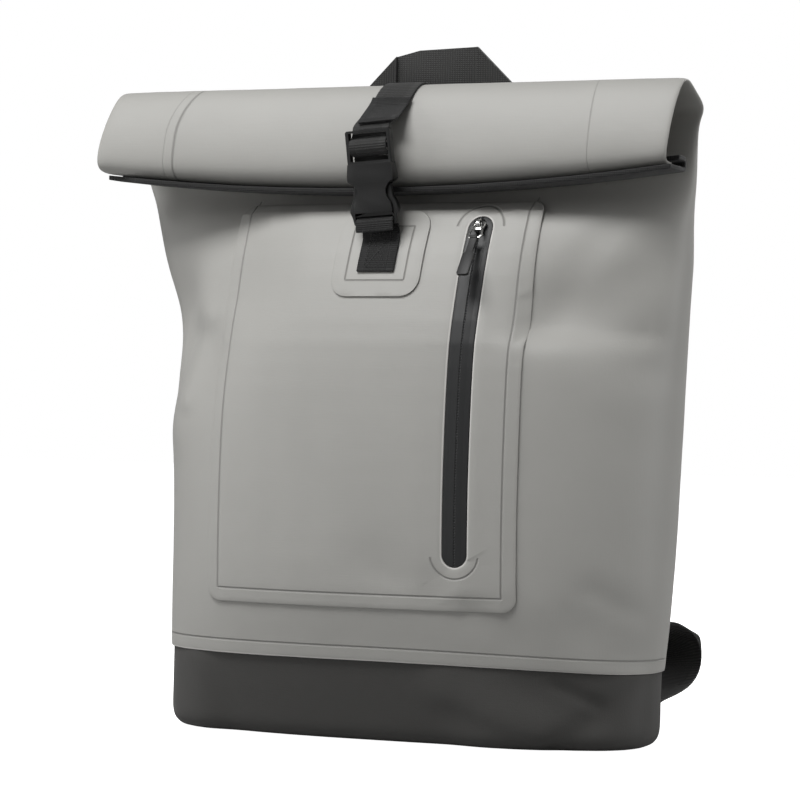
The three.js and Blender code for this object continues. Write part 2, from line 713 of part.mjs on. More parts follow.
const loopMiddle = -linkLength + linkWire / 2;
const loopInner = wireRound + clearance;
const loopOuter = loopInner + 0.7;
const loopProfile = new THREE.Shape();
loopProfile.absarc(0, loopMiddle, loopOuter, 0, 2 * Math.PI);
const loopPath = new THREE.Path();
loopPath.absarc(0, loopMiddle, loopInner, 0, 2 * Math.PI, true);
loopProfile.holes.push(loopPath);
const neckTop = loopMiddle - loopInner - 0.2;
const gripTop = neckTop - neckLength;
const gripEnd = gripTop - gripLength;
const half = pullThickness / 2;
const pullOutline = new THREE.Shape();
pullOutline.moveTo(-neckWidth / 2, neckTop);
pullOutline.lineTo(-neckWidth / 2, gripTop);
pullOutline.lineTo(-gripWidth / 2, gripTop - 2);
pullOutline.lineTo(-gripWidth / 2, gripEnd + 1);
pullOutline.lineTo(-gripWidth / 2 + 1, gripEnd);
pullOutline.lineTo(gripWidth / 2 - 1, gripEnd);
pullOutline.lineTo(gripWidth / 2, gripEnd + 1);
pullOutline.lineTo(gripWidth / 2, gripTop - 2);
pullOutline.lineTo(neckWidth / 2, gripTop);
pullOutline.lineTo(neckWidth / 2, neckTop);
addPiece(
  'zip_pull',
  fromSolid(toSolid(sideBlock(loopProfile, -neckWidth / 2, neckWidth / 2))
    .add(toSolid(frontBlock(pullOutline, -half, half)))),
  zipRubber,
  pullFrame,
);

// Buckle: its own frame has x across, -y out of the bag and z up
const buckle = new THREE.Group();
buckle.position.set(buckleAcross, -buckleForward, buckleHeight);
buckle.rotation.set(
  THREE.MathUtils.degToRad(bucklePitch), THREE.MathUtils.degToRad(-buckleLean), 0, 'YXZ',
);
bag.add(buckle);
bag.updateMatrixWorld(true);
const buckleEnd = buckleLength / 2;
const buckleHalf = buckleWidth / 2;
const socketEnd = -buckleEnd + 8;
const ladderEnd = socketEnd + 31;

function mirrored(points) {
  const shape = new THREE.Shape(points.map(([x, z]) => new THREE.Vector2(x, z)));
  const others = points.map(([x, z]) => [-x, z]).reverse();
  others.forEach(([x, z]) => shape.lineTo(x, z));
  return shape;
}
const bodyOutline = mirrored([
  [buckleHalf - 1, ladderEnd],
  [buckleHalf, ladderEnd - 7],
  [buckleHalf, -2],
  [buckleHalf - 3.6, -4],
  [buckleHalf - 6, -8],
  [buckleHalf - 5.6, -12],
  [buckleHalf - 3, -16],
  [buckleHalf - 2.4, socketEnd],
]);
const windowHalf = ladderWindow / 2;
const windowMiddle = (buckleEnd + ladderEnd) / 2;
const ladderOutline = roundedShape(
  0, windowMiddle - 0.5, buckleHalf - 0.5, (buckleEnd - ladderEnd) / 2 + 0.5, 1.5,
);
const barHalf = ladderBar / 2;
const windowReach = webbingWidth / 2 + 0.4;
for (const way of [-1, 1]) {
  const hole = new THREE.Path();
  const near = windowMiddle + way * barHalf;
  const far = windowMiddle + way * windowHalf;
  hole.moveTo(-windowReach, Math.min(near, far));
  hole.lineTo(-windowReach, Math.max(near, far));
  hole.lineTo(windowReach, Math.max(near, far));
  hole.lineTo(windowReach, Math.min(near, far));
  ladderOutline.holes.push(hole);
}
const socketTop = -3.5;
const socketBlock = new THREE.BoxGeometry(
  buckleWidth + 2, socketHollow, socketTop - socketEnd + 2,
);
socketBlock.translate(0, 0, (socketTop + socketEnd) / 2 - 1);
const halfBody = buckleThickness / 2;
const socket = toSolid(frontBlock(bodyOutline, -halfBody, halfBody))
  .subtract(toSolid(socketBlock))
  .add(toSolid(frontBlock(ladderOutline, -ladderThickness / 2, ladderThickness / 2, 3)));
addPiece('buckle_socket', fromSolid(socket), buckleNylon, buckle);

const slotTop = socketEnd - 2.3;
const slotBottom = -buckleEnd + 2.3;
const keyOutline = mirrored([
  [3, socketTop - 1],
  [3, socketEnd + 4],
  [8.5, socketEnd + 4],
  [9.5, socketTop - 3],
  [11, socketTop - 1],
  [12.6, socketTop - 2],
  [13.2, -12],
  [15.6, -17],
  [16.4, -21],
  [15.2, socketEnd - 2],
  [14.2, -buckleEnd + 1],
  [13.2, -buckleEnd],
].reverse());
const slotPath = new THREE.Path();
slotPath.moveTo(-windowReach, slotBottom);
slotPath.lineTo(-windowReach, slotTop);
slotPath.lineTo(windowReach, slotTop);
slotPath.lineTo(windowReach, slotBottom);
keyOutline.holes.push(slotPath);
addPiece(
  'buckle_key',
  fromSolid(toSolid(frontBlock(keyOutline, -keyThickness / 2, keyThickness / 2))),
  buckleNylon,
  buckle,
);
function inBuckle(y, z) {
  return buckle.localToWorld(new THREE.Vector3(0, y, z));
}

// Closing strap: sewn to the back, over the roll, round the ladder's bar
const backColumn = columns / 2;
const overCloth = offsetRows(clothRows, clearance + webbingThickness / 2);
const topRow = levels.length + rollRows.findIndex((row) => row.down === 0);
const leaveRow = topRow + 2;
const anchorRow = clothRows.findIndex((row) => row[0].z > strapAnchor);
const strapStations = [];
for (let i = anchorRow; i <= leaveRow; i += 1) {
  const at = overCloth[i][backColumn].clone();
  const goneBack = (i - anchorRow) / (topRow - anchorRow);
  const goneFront = (i - topRow) / (leaveRow + 1 - topRow);
  at.x = i <= topRow
    ? THREE.MathUtils.lerp(backAcross, strapAcrossTop, goneBack)
    : THREE.MathUtils.lerp(strapAcrossTop, buckleAcross, goneFront);
  strapStations.push({ at, thick: webbingThickness, across: new THREE.Vector3(1, 0, 0) });
}
const buckleSide = new THREE.Vector3(1, 0, 0).transformDirection(buckle.matrixWorld);
const barMiddle = windowMiddle;
const roundBar = [
  [5.6, 14], [5.0, 10.4], [3.4, 6.6], [0, 4.4], [-2.6, 3.6],
  [-3.8, 1.9], [-3.8, -1.9], [-2.6, -3.6], [0, -4.4], [3, -5.4],
];
for (const [y, up] of roundBar) {
  strapStations.push({
    at: inBuckle(y, barMiddle + up), thick: webbingThickness, across: buckleSide,
  });
}
addPiece('closing_strap', strip(strapStations, webbingWidth), blackWebbing);

// Keeper: a doubled band over the strap, from halfway down the roll's front to the buckle
const keeperStart = topRow - anchorRow + 1;
const keeperRise = (webbingThickness + keeperWall) / 2 + clearance;
const keeperStations = [0, 1, 2].map((i) => {
  const { at, across } = strapStations[keeperStart + i];
  const before = strapStations[keeperStart + i - 1].at;
  const after = strapStations[keeperStart + i + 1].at;
  const heading = after.clone().sub(before).normalize();
  const out = heading.cross(new THREE.Vector3(1, 0, 0)).normalize();
  return { at: at.clone().addScaledVector(out, keeperRise), thick: keeperWall, across };
});
keeperStations[0].at.lerp(keeperStations[1].at, keeperLow);
addPiece('strap_keeper', strip(keeperStations, webbingWidth + 1.5), blackWebbing);

// Tab: welded to the patch and folded up round the key's lower bar
const tabStations = [];
for (const up of [0, 8, 16, 23]) {
  const seat = seatOn(shell, tabAcross, tabBottom + up, -1);
  tabStations.push({
    at: above(seat, onPatch + clearance + webbingThickness / 2), thick: webbingThickness,
  });
}
const keyBar = -buckleEnd;
const roundKey = [
  [4.6, 1.4], [2.9, 3.9], [0, 4.3], [-2.9, 3.8], [-4.3, 1.6], [-4.6, -4],
];
for (const [y, up] of roundKey) {
  tabStations.push({
    at: inBuckle(y, keyBar + up), thick: webbingThickness, across: buckleSide,
  });
}
addPiece('buckle_tab', strip(tabStations, webbingWidth), blackWebbing);

// Carry handle: two legs up the back and a grip folded across them at the corners
const legHalf = handleWidth / 2;
const legRows = [
  { up: 0.29, back: 0.77 },
  { up: 0.62, back: 0.92 },
  { up: 1.00, back: 1.00 },
];
function handleLeg(side, top) {
  const x = handleAcross + (side * handleSpan) / 2;
  const lift = clearance + handleThickness / 2;
  const low = above(seatOn(shell, x, handleSewn, 1), lift);
  const sewn = above(seatOn(shell, x, handleSewn + handleSeam, 1), lift);
  const ways = [low, sewn];
  for (const row of legRows) {
    const back = THREE.MathUtils.lerp(sewn.y, handleBack, row.back);
    ways.push(new THREE.Vector3(x, back, THREE.MathUtils.lerp(sewn.z, top - handleWidth, row.up)));
  }
  ways.push(new THREE.Vector3(x, handleBack, top + 1));
  const leg = toSolid(strip(ways.map((at) => ({ at, thick: handleThickness })), handleWidth));
  const inner = x - side * legHalf;
  const corner = new THREE.Shape([
    new THREE.Vector2(inner - side, top),
    new THREE.Vector2(inner, top),
    new THREE.Vector2(inner + side * (handleWidth + 1), top - handleWidth - 1),
    new THREE.Vector2(inner + side * (handleWidth + 1), top + 5),
    new THREE.Vector2(inner - side, top + 5),
  ]);
  return leg.subtract(toSolid(frontBlock(corner, 0, 2 * handleBack)));
}
const gripRight = handleAcross + handleSpan / 2 - legHalf;
const gripLeft = handleAcross - handleSpan / 2 + legHalf;
const leftTop = handleTop - handleDip;
const grip = new THREE.Shape([
  new THREE.Vector2(gripLeft, leftTop),
  new THREE.Vector2(gripLeft - handleWidth, leftTop - handleWidth),
  new THREE.Vector2(gripRight + handleWidth, handleTop - handleWidth),
  new THREE.Vector2(gripRight, handleTop),
  new THREE.Vector2(gripLeft + handleCrest, handleTop - handleDip / 4),
]);
const gripFront = handleBack + handleThickness / 2 - 0.1;
const handle = handleLeg(-1, leftTop)
  .add(handleLeg(1, handleTop))
  .add(toSolid(frontBlock(grip, gripFront, gripFront + handleThickness)));
addPiece('carry_handle', fromSolid(handle), blackWebbing);

// Shoulder straps: each sewn to the back, bowed out behind it and padded, with an
// adjuster and a length of webbing down to the base's corner
const strapRows = [
  { down: 0.00, back: 0.00, out: 0.00, pad: 0.30 },
  { down: -0.09, back: 0.00, out: 0.00, pad: 0.30 },
  { down: -0.17, back: 0.09, out: 0.01, pad: 0.60 },
  { down: -0.20, back: 0.27, out: 0.02, pad: 0.95 },
  { down: -0.165, back: 0.46, out: 0.05, pad: 1.00 },
  { down: -0.04, back: 0.65, out: 0.16, pad: 1.00 },
  { down: 0.19, back: 0.88, out: 0.38, pad: 1.00 },
  { down: 0.45, back: 1.00, out: 0.62, pad: 1.00 },
  { down: 0.71, back: 0.98, out: 0.84, pad: 1.00 },
  { down: 0.92, back: 0.90, out: 0.97, pad: 0.85 },
  { down: 1.00, back: 0.86, out: 1.00, pad: 0.50 },
];
for (const [name, side] of [['left', -1], ['right', 1]]) {
  const sewn = seatOn(shell, backAcross + side * strapApart, strapSewn, 1);
  const sewnThick = strapRows[0].pad * strapPadding;
  const start = above(sewn, clearance + sewnThick / 2).y;
  const stations = strapRows.map((row, i) => {
    const height = strapSewn - row.down * (strapSewn - strapEnd);
    const x = backAcross + side * (strapApart + row.out * (strapSpread - strapApart));
    const at = i < 2
      ? above(seatOn(shell, x, height, 1), clearance + sewnThick / 2)
      : new THREE.Vector3(x, start + row.back * (strapReach - start), height);
    return { at, thick: row.pad * strapPadding };
  });
  addPiece(`shoulder_strap_${name}`, strip(stations, strapWidth), blackWebbing);

  const end = stations[stations.length - 1];
  const before = stations[stations.length - 2];
  const heading = end.at.clone().sub(before.at).normalize();
  const across = new THREE.Vector3(1, 0, 0);
  across.addScaledVector(heading, -across.dot(heading)).normalize();
  const out = across.clone().cross(heading);
  const plate = roundedShape(0, 0, adjusterWidth / 2, adjusterLength / 2, 2);
  for (const way of [-1, 1]) {
    const hole = new THREE.Path();
    const slotNear = way * barHalf;
    const slotFar = way * (adjusterLength / 2 - 3);
    hole.moveTo(-lowerWidth / 2 - 0.5, Math.min(slotNear, slotFar));
    hole.lineTo(-lowerWidth / 2 - 0.5, Math.max(slotNear, slotFar));
    hole.lineTo(lowerWidth / 2 + 0.5, Math.max(slotNear, slotFar));
    hole.lineTo(lowerWidth / 2 + 0.5, Math.min(slotNear, slotFar));
    plate.holes.push(hole);
  }
  const adjuster = frontBlock(plate, -adjusterThickness / 2, adjusterThickness / 2, 3);
  const turn = new THREE.Matrix4().makeBasis(across, out, heading.clone().negate());
  const middle = end.at.clone().addScaledVector(heading, adjusterLength / 2 + clearance);
  adjuster.applyMatrix4(turn.setPosition(middle));
  addPiece(`strap_adjuster_${name}`, fromSolid(toSolid(adjuster)), buckleNylon);

  const behind = clearance + (adjusterThickness + webbingThickness) / 2;
  const onPlate = (along) => middle.clone()
    .addScaledVector(heading, along).addScaledVector(out, -behind);
  const low = strapEnd - adjusterLength;
  const bow = (share, reach, height) => new THREE.Vector3(
    backAcross + side * (strapSpread + share * (lowerSpread - strapSpread)),
    lowerReach * reach,
    height,
  );
  const seatX = backAcross + side * (lowerSpread - 11);
  const sewnLow = [lowerEnd + 11, lowerEnd].map((height) => {
    const seat = seatOn(tub, seatX, height, 1);
    return {
      at: above(seat, clearance + webbingThickness / 2),
      thick: webbingThickness,
      across: new THREE.Vector3(seat.normal.y, -seat.normal.x, 0),
    };
  });
  const arrive = sewnLow[0].at.clone().add(new THREE.Vector3(side * 1.5, 7, 4));
  const lower = [
    bow(0.62, 0.93, low * 0.92), bow(0.93, 1, low * 0.78), bow(1, 0.965, low * 0.60),
    bow(0.93, 0.78, low * 0.43), arrive,
  ].map((at) => ({ at, thick: webbingThickness }));
  const held = [-0.45, 0, 0.6].map((share) => ({
    at: onPlate(share * adjusterLength), thick: webbingThickness, across,
  }));
  addPiece(
    `lower_webbing_${name}`, strip([...held, ...lower, ...sewnLow], lowerWidth), blackWebbing,
  );
}

export default bag;
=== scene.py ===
# Looks of a roll-top cycling backpack. Metres, +Z up, the front faces -Y.
import math

import bpy
import numpy as np
from mathutils import Matrix, Vector


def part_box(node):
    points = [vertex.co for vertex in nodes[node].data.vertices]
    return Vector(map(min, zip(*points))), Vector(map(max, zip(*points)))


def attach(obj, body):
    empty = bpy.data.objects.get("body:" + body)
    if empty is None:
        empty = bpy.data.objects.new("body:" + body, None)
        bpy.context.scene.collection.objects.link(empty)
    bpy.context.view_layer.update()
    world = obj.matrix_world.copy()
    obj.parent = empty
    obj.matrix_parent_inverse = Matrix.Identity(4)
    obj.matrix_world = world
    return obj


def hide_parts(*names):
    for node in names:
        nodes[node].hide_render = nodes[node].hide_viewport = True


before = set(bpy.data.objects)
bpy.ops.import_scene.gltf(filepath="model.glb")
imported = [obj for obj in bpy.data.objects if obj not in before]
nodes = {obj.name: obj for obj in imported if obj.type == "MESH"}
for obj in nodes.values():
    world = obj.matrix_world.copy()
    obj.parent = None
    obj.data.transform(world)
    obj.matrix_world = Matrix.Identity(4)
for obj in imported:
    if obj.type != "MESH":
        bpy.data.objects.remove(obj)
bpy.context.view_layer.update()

# Camera: metres and degrees, with the lens and the sensor in mm
camera = {
    "distance": 1.903, "turn": 22, "height": 0.221, "ahead": 0.013, "roll": 0.8,
    "lens": 132.75, "sensor": 36, "shift": -0.0113,
}
turn = math.radians(camera["turn"])
cameraData = bpy.data.cameras.new("camera")
cameraData.lens = camera["lens"]
cameraData.sensor_width = camera["sensor"]
cameraData.shift_y = camera["shift"]
cameraObject = bpy.data.objects.new("camera", cameraData)
bpy.context.collection.objects.link(cameraObject)
cameraObject.location = (
    camera["distance"] * math.sin(turn),
    camera["ahead"] - camera["distance"] * math.cos(turn),
    camera["height"],
)
level = Matrix.Rotation(turn, 3, "Z") @ Matrix.Rotation(math.pi / 2, 3, "X")
rolled = Matrix.Rotation(math.radians(camera["roll"]), 3, "Z")
cameraObject.rotation_euler = (level @ rolled).to_euler()
bpy.context.scene.camera = cameraObject
print("camera placed")


# Materials
def linear(hexColour):
    # sRGB hex to the linear colour that the shaders use
    parts = [int(hexColour[i:i + 2], 16) / 255 for i in (0, 2, 4)]
    return [v / 12.92 if v < 0.04045 else ((v + 0.055) / 1.055) ** 2.4 for v in parts] + [1]


def addNode(tree, kind, settings=None, **links):
    # a node with its settings, each link named after its input, or _0, _1 for one by number
    node = tree.nodes.new(kind)
    for key, value in (settings or {}).items():
        setattr(node, key, value)
    for key, value in links.items():
        target = node.inputs[int(key[1:])] if key[0] == "_" else node.inputs[key.replace("_", " ")]
        if isinstance(value, bpy.types.NodeSocket):
            tree.links.new(value, target)
        else:
            target.default_value = value
    return node


def startMaterial(name, colour, roughness):
    # a new material, its nodes and its shader
    material = bpy.data.materials.new(name)
    material.use_nodes = True
    shader = material.node_tree.nodes["Principled BSDF"]
    shader.inputs["Base Color"].default_value = linear(colour)
    shader.inputs["Roughness"].default_value = roughness
    return material, material.node_tree, shader


def mathNode(tree, operation, a, b=0.0):
    return addNode(tree, "ShaderNodeMath", {"operation": operation}, _0=a, _1=b).outputs[0]


def tint(tree, shader, colour, factor, spread):
    # lighter and darker by a slow pattern
    shade = addNode(tree, "ShaderNodeMapRange", _0=factor, _3=1 - spread, _4=1 + spread).outputs[0]
    mixed = addNode(
        tree, "ShaderNodeVectorMath", {"operation": "SCALE"}, _0=linear(colour)[:3], Scale=shade,
    )
    tree.links.new(mixed.outputs[0], shader.inputs["Base Color"])


def bumpFrom(tree, shader, height, distance, strength=1.0, before=None):
    # raises the surface by a height pattern, on top of an earlier one if there is one
    bump = addNode(tree, "ShaderNodeBump", Height=height, Distance=distance, Strength=strength)
    if before is not None:
        tree.links.new(before, bump.inputs["Normal"])
    tree.links.new(bump.outputs[0], shader.inputs["Normal"])
    return bump.outputs[0]


def ridge(tree, distance, width):
    # 1 on a line, falling to 0 at its width
    near = mathNode(tree, "DIVIDE", mathNode(tree, "ABSOLUTE", distance), width)
    return mathNode(tree, "MAXIMUM", mathNode(tree, "SUBTRACT", 1.0, near), 0.0)


def boxDistance(tree, x, z, middle, half, corner):
    # distance from the outline of a rectangle with round corners
    fromSides = mathNode(tree, "ABSOLUTE", mathNode(tree, "SUBTRACT", x, middle[0]))
    fromEnds = mathNode(tree, "ABSOLUTE", mathNode(tree, "SUBTRACT", z, middle[1]))
    px = mathNode(tree, "SUBTRACT", fromSides, half[0] - corner)
    pz = mathNode(tree, "SUBTRACT", fromEnds, half[1] - corner)
    outside = addNode(
        tree, "ShaderNodeCombineXYZ",
        X=mathNode(tree, "MAXIMUM", px, 0.0), Y=mathNode(tree, "MAXIMUM", pz, 0.0),
    ).outputs[0]
    length = addNode(tree, "ShaderNodeVectorMath", {"operation": "LENGTH"}, _0=outside).outputs["Value"]
    inside = mathNode(tree, "MINIMUM", mathNode(tree, "MAXIMUM", px, pz), 0.0)
    return mathNode(tree, "SUBTRACT", mathNode(tree, "ADD", length, inside), corner)


# Coated cloth: a soft broad sheen, a very fine cloth grain and slow unevenness from handling.
# The grain, the unevenness and the threads are heights in metres
coated = {
    "grey": "a5a4a0", "roughness": 0.55, "grain": 0.00002, "grainScale": 2400, "spread": 0.05,
    "uneven": 0.0016, "unevenScale": 16, "thread": 0.00004, "sheen": 0.08,
}
charcoal = {
    "colour": "3e3d3b", "roughness": 0.65, "grain": 0.00006, "grainScale": 1500, "spread": 0.08,
}
threadWays = ((900, 900, 60), (60, 900, 900))  # scales of the upright threads and the level ones


def coatedCloth(name, colour, roughness, grain, grainScale, spread):
    material, tree, shader = startMaterial(name, colour, roughness)
    place = addNode(tree, "ShaderNodeTexCoord").outputs["Object"]
    slow = addNode(tree, "ShaderNodeTexNoise", Vector=place, Scale=coated["unevenScale"], Detail=3.0)
    fine = addNode(tree, "ShaderNodeTexNoise", Vector=place, Scale=grainScale, Detail=2.0)
    tint(tree, shader, colour, slow.outputs["Fac"], spread)
    threads = [
        addNode(
            tree, "ShaderNodeTexNoise", Scale=1.0, Detail=2.0,
            Vector=addNode(tree, "ShaderNodeMapping", Vector=place, Scale=stretch).outputs[0],
        ).outputs["Fac"]
        for stretch in threadWays
    ]
    thread = mathNode(tree, "ADD", *threads)
    firm = bumpFrom(tree, shader, thread, coated["thread"], 1.0)
    first = bumpFrom(tree, shader, slow.outputs["Fac"], coated["uneven"], 0.5, firm)
    last = bumpFrom(tree, shader, fine.outputs["Fac"], grain, 1.0, first)
    shader.inputs["Sheen Weight"].default_value = coated["sheen"]
    return material, tree, shader, place, last


greyCloth, greyTree, greyShader, greyPlace, greyNormal = coatedCloth(
    "grey coated cloth", coated["grey"], coated["roughness"], coated["grain"], coated["grainScale"],
    coated["spread"],
)

# The base's darker cloth: rougher, with a coarser grain, so that it shines less than the grey
charcoalCloth = coatedCloth(
    "charcoal coated cloth", charcoal["colour"], charcoal["roughness"], charcoal["grain"],
    charcoal["grainScale"], charcoal["spread"],
)[0]

# Weld lines pressed into the grey cloth: along the hem, inside the pocket's edge, inside the
# buckle's patch, round the zip's ends and across both ends of the roll
welds = {
    "widthMm": 1.0, "depthMm": 0.5, "frontMm": 20,
    "colour": "4c4b49", "dark": 0.45,  # the lines' own tone and how strongly it shows
    "hemMm": 61, "hemSlantMm": 5, "hemHalfMm": 178,  # the slant grows over this half width
    "pocketInMm": 8.5, "pocketCornerMm": 9, "pocketOverMm": 50, "rollGapMm": 3,
    "patchInMm": 10, "patchCornerMm": 11, "patchWidth": 0.8,
    "zipOutMm": 7.5, "zipEndMm": 6,
    "rollFromMm": 352, "rollLeanMm": 12, "leanFromMm": 385, "leanToMm": 418,
    "rollLeftMm": -145, "rollLeftWidth": 1.3, "rollPairMm": 7, "rollRightMm": 138.5,
    "faintWidth": 0.7, "faint": 0.4,
}

# Painted highlight: a pale colour along the raised hem and round the zip, standing in for the light that
# their raised edges catch
edgeHighlights = {
    "colour": "dedcd8", "hemFromMm": 53.6, "hemToMm": 52.8,
    "zipMm": 0.6, "zipWidthMm": 1.1, "zipShare": 0.7,
}
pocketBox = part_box("pocket_panel")
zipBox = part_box("zip_tape")
split = addNode(greyTree, "ShaderNodeSeparateXYZ", Vector=greyPlace)
acrossBag, outOfBag, upBag = split.outputs
lineWidth = welds["widthMm"] / 1000
rightPart = mathNode(greyTree, "MAXIMUM", acrossBag, 0.0)
rightSide = mathNode(greyTree, "DIVIDE", rightPart, welds["hemHalfMm"] / 1000)
slantGrowth = mathNode(greyTree, "POWER", rightSide, 2.0)
slanted = mathNode(greyTree, "MULTIPLY", slantGrowth, welds["hemSlantMm"] / 1000)
hemEdge = mathNode(greyTree, "ADD", upBag, slanted)
hemLine = ridge(greyTree, mathNode(greyTree, "SUBTRACT", hemEdge, welds["hemMm"] / 1000), lineWidth)


def boxParts(corners):
    # the middle and the half size of a box, seen from the front
    low, high = corners
    middle = ((low[0] + high[0]) / 2, (low[2] + high[2]) / 2)
    half = ((high[0] - low[0]) / 2, (high[2] - low[2]) / 2)
    return middle, half


# inside the edges of the pocket and the patch, below the roll
pocketBottom, pocketTop = pocketBox
pocketTall = (pocketBottom, (pocketTop[0], pocketTop[1], pocketTop[2] + welds["pocketOverMm"] / 1000))
pocketMiddle, pocketHalf = boxParts(pocketTall)
fromPocket = boxDistance(
    greyTree, acrossBag, upBag, pocketMiddle, pocketHalf, welds["pocketCornerMm"] / 1000,
)
inPocket = mathNode(greyTree, "ADD", fromPocket, welds["pocketInMm"] / 1000)
pocketLine = ridge(greyTree, inPocket, lineWidth)
underRoll = mathNode(greyTree, "LESS_THAN", upBag, pocketTop[2] + welds["rollGapMm"] / 1000)
patchMiddle, patchHalf = boxParts(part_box("buckle_patch"))
fromPatch = boxDistance(greyTree, acrossBag, upBag, patchMiddle, patchHalf, welds["patchCornerMm"] / 1000)
inPatch = mathNode(greyTree, "ADD", fromPatch, welds["patchInMm"] / 1000)
patchLine = ridge(greyTree, inPatch, lineWidth * welds["patchWidth"])
bothLines = mathNode(greyTree, "ADD", pocketLine, patchLine)
sewnLines = mathNode(greyTree, "MULTIPLY", bothLines, underRoll)

# round both ends of the zip
zipMiddle, zipHalf = boxParts(zipBox)
zipCorner = zipHalf[0] - 0.0001  # the zip's ends are half round
fromZip = boxDistance(greyTree, acrossBag, upBag, zipMiddle, zipHalf, zipCorner)
ring = ridge(greyTree, mathNode(greyTree, "SUBTRACT", fromZip, welds["zipOutMm"] / 1000), lineWidth)
fromMiddle = mathNode(greyTree, "ABSOLUTE", mathNode(greyTree, "SUBTRACT", upBag, zipMiddle[1]))
atEnd = mathNode(greyTree, "GREATER_THAN", fromMiddle, zipHalf[1] - welds["zipEndMm"] / 1000)
zipRing = mathNode(greyTree, "MULTIPLY", ring, atEnd)

# across both ends of the roll, leaning over its top at the left
onRoll = mathNode(greyTree, "GREATER_THAN", upBag, welds["rollFromMm"] / 1000)
overRoll = addNode(
    greyTree, "ShaderNodeMapRange", _0=upBag, _1=welds["leanFromMm"] / 1000, _2=welds["leanToMm"] / 1000,
).outputs[0]
leanGrowth = mathNode(greyTree, "POWER", overRoll, 2.0)
lean = mathNode(greyTree, "MULTIPLY", leanGrowth, welds["rollLeanMm"] / 1000)
leftPlace = mathNode(greyTree, "ADD", lean, welds["rollLeftMm"] / 1000)
fromLeft = mathNode(greyTree, "SUBTRACT", acrossBag, leftPlace)
fromPair = mathNode(greyTree, "ADD", fromLeft, welds["rollPairMm"] / 1000)
fromRight = mathNode(greyTree, "SUBTRACT", acrossBag, welds["rollRightMm"] / 1000)
rollLeft = ridge(greyTree, fromLeft, lineWidth * welds["rollLeftWidth"])
rollPair = ridge(greyTree, fromPair, lineWidth * welds["faintWidth"])
rollRight = ridge(greyTree, fromRight, lineWidth * welds["faintWidth"])
faintLines = mathNode(greyTree, "ADD", rollPair, rollRight)
rollFaint = mathNode(greyTree, "MULTIPLY", faintLines, welds["faint"])
rollLines = mathNode(greyTree, "MULTIPLY", mathNode(greyTree, "ADD", rollLeft, rollFaint), onRoll)
hemAndZip = mathNode(greyTree, "ADD", hemLine, zipRing)
allLines = mathNode(greyTree, "ADD", hemAndZip, rollLines)

# the painted highlight at the hem and round the zip, all round the bag, and over it, on the front alone,
# the lines' darker tone
hemHighlight = addNode(
    greyTree, "ShaderNodeMapRange",
    _0=hemEdge, _1=edgeHighlights["hemFromMm"] / 1000, _2=edgeHighlights["hemToMm"] / 1000,
).outputs[0]
# painted highlight in a thin ring round the zip
fromZipHighlight = mathNode(greyTree, "SUBTRACT", fromZip, edgeHighlights["zipMm"] / 1000)
zipHighlight = ridge(greyTree, fromZipHighlight, edgeHighlights["zipWidthMm"] / 1000)
zipHighlightPart = mathNode(greyTree, "MULTIPLY", zipHighlight, edgeHighlights["zipShare"])
# both painted highlights together, the hem's and the zip's
paintedHighlight = mathNode(greyTree, "MAXIMUM", hemHighlight, zipHighlightPart)
greyColour = greyShader.inputs["Base Color"].links[0].from_socket
highlighted = addNode(
    greyTree, "ShaderNodeMix", {"data_type": "RGBA"},
    _0=paintedHighlight, _6=greyColour, _7=linear(edgeHighlights["colour"]),
).outputs[2]
front = mathNode(greyTree, "LESS_THAN", outOfBag, welds["frontMm"] / 1000)
frontLines = mathNode(greyTree, "MULTIPLY", mathNode(greyTree, "ADD", allLines, sewnLines), front)
lineTone = mathNode(greyTree, "MULTIPLY", mathNode(greyTree, "MINIMUM", frontLines, 1.0), welds["dark"])
lined = addNode(
    greyTree, "ShaderNodeMix", {"data_type": "RGBA"},
    _0=lineTone, _6=highlighted, _7=linear(welds["colour"]),
)
greyTree.links.new(lined.outputs[2], greyShader.inputs["Base Color"])
pressed = mathNode(greyTree, "SUBTRACT", 1.0, frontLines)
bumpFrom(greyTree, greyShader, pressed, welds["depthMm"] / 1000, 1.0, greyNormal)


# Webbing: cross ribs along the band and fine cords across it, from each band's own way, which
# give a dull woven black with a little fuzz at glancing light
webbingLook = {"roughness": 0.78, "spread": 0.45, "sheen": 0.12}


def webbing(name, colour, ribMm, cordMm, depthMm):
    material, tree, shader = startMaterial(name, colour, webbingLook["roughness"])
    way = addNode(tree, "ShaderNodeAttribute", {"attribute_name": "way"}).outputs["Vector"]
    split = addNode(tree, "ShaderNodeSeparateXYZ", Vector=way)
    ribs = mathNode(tree, "MULTIPLY", split.outputs["X"], 2000 * math.pi / ribMm)
    cords = mathNode(tree, "MULTIPLY", split.outputs["Y"], 2000 * math.pi / cordMm)
    along = mathNode(tree, "ADD", mathNode(tree, "SINE", ribs), 1.2)
    across = mathNode(tree, "ADD", mathNode(tree, "SINE", cords), 1.6)
    weave = mathNode(tree, "MULTIPLY", along, across)  # at most about 5.7
    bumpFrom(tree, shader, weave, depthMm / 4000)
    tint(tree, shader, colour, mathNode(tree, "DIVIDE", weave, 5.7), webbingLook["spread"])
    shader.inputs["Sheen Weight"].default_value = webbingLook["sheen"]
    return material


# A box of thread with a cross in it, as sewn tabs have
tabStitches = [
    ((1.8, -9.6), (1.8, 9.6)), ((27, -9.6), (27, 9.6)), ((1.8, -10), (27, -10)), ((1.8, 10), (27, 10)),
    ((3, -9), (26, 9)), ((3, 9), (26, -9)),
]
threadLook = {"widthMm": 0.55, "pitchMm": 2.6, "height": 0.0005}


